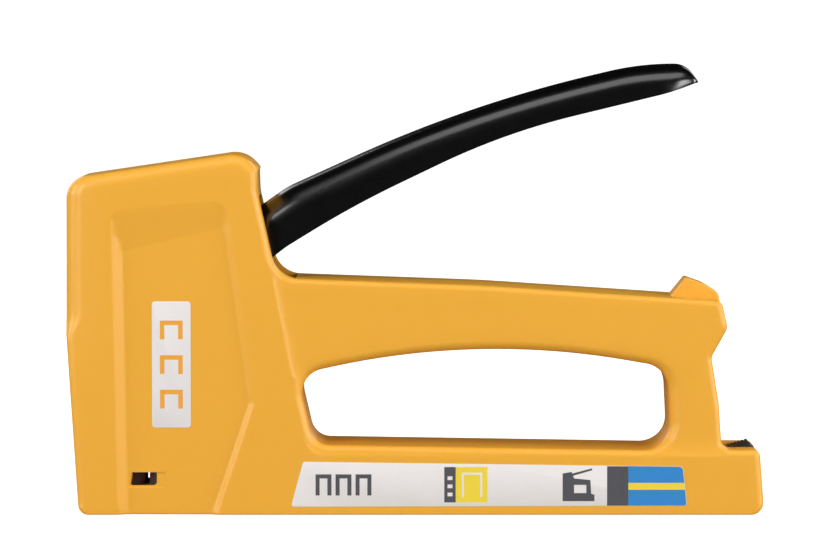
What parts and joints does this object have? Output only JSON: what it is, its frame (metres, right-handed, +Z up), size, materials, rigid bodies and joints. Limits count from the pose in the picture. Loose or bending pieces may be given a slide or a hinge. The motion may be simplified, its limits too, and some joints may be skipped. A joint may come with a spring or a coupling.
{
  "type": "staple gun",
  "caption": "Hand-squeezed staple gun with an orange two-part casing, a hand hole, a long black lever above it and a rear magazine latch.",
  "frame": {"origin": "centre of the bounding box on the base's bottom face", "axes": "+X from the nose to the rear, +Y across the casing away from the labelled side, +Z up"},
  "size_m": [0.1711, 0.028, 0.1104],
  "materials": {
    "casing_plastic": "fine grained matte",
    "lever_paint": "gloss black paint",
    "zinc_steel": "zinc plated",
    "dark_steel": "hardened, oiled",
    "spring_steel": "drawn wire",
    "magazine_steel": "rolled sheet",
    "black_plastic": "semi matte",
    "black_rubber": "matte",
    "label_film": "printed film"
  },
  "bodies": {
    "casing": {"left_casing": "casing_plastic", "right_casing": "casing_plastic", "casing_screws": "zinc_steel", "lever_pivot_pin": "zinc_steel", "spring_seat": "black_plastic", "striker_bumper": "black_rubber", "front_plate": "magazine_steel", "magazine_channel": "magazine_steel", "staple_rail": "magazine_steel", "magazine_rivets": "zinc_steel", "side_label": "label_film", "emblem_patch": "label_film", "main_spring": "spring_steel"},
    "lever": {"lever": "lever_paint"},
    "striker": {"striker": "dark_steel", "striker_pin": "zinc_steel", "driver_blade": "dark_steel"},
    "feeder": {"guide_rod": "zinc_steel", "rod_stop": "dark_steel", "end_block": "black_plastic", "pusher_spring": "spring_steel", "latch_spring": "spring_steel"},
    "pusher": {"pusher": "magazine_steel"},
    "latch": {"latch_button": "black_plastic"}
  },
  "joints": [
    {"name": "lever_hinge", "type": "hinge", "parent": "casing", "child": "lever", "pos_m": [-0.046, 0, 0.066], "axis": [0, 1, 0], "range_deg": [0, 24], "stiffness_Nm_per_rad": 4, "springref_deg": -22.92},
    {"name": "striker_slide", "type": "slide", "parent": "casing", "child": "striker", "axis": [0, 0, 1], "range_m": [0, 0.011], "deforming": ["main_spring"]},
    {"name": "feeder_slide", "type": "slide", "parent": "casing", "child": "feeder", "axis": [1, 0, 0], "range_m": [0, 0.105]},
    {"name": "pusher_slide", "type": "slide", "parent": "feeder", "child": "pusher", "axis": [1, 0, 0], "range_m": [0, 0.095], "stiffness_N_per_m": 20, "springref_m": -0.05, "deforming": ["pusher_spring"]},
    {"name": "latch_press", "type": "slide", "parent": "feeder", "child": "latch", "axis": [0, 0, -1], "range_m": [0, 0.0011], "stiffness_N_per_m": 800, "springref_m": -0.002, "deforming": ["latch_spring"]}
  ],
  "couplings": [
    {"joint": "striker_slide", "follows": "lever_hinge", "m_per_rad": 0.02626}
  ]
}
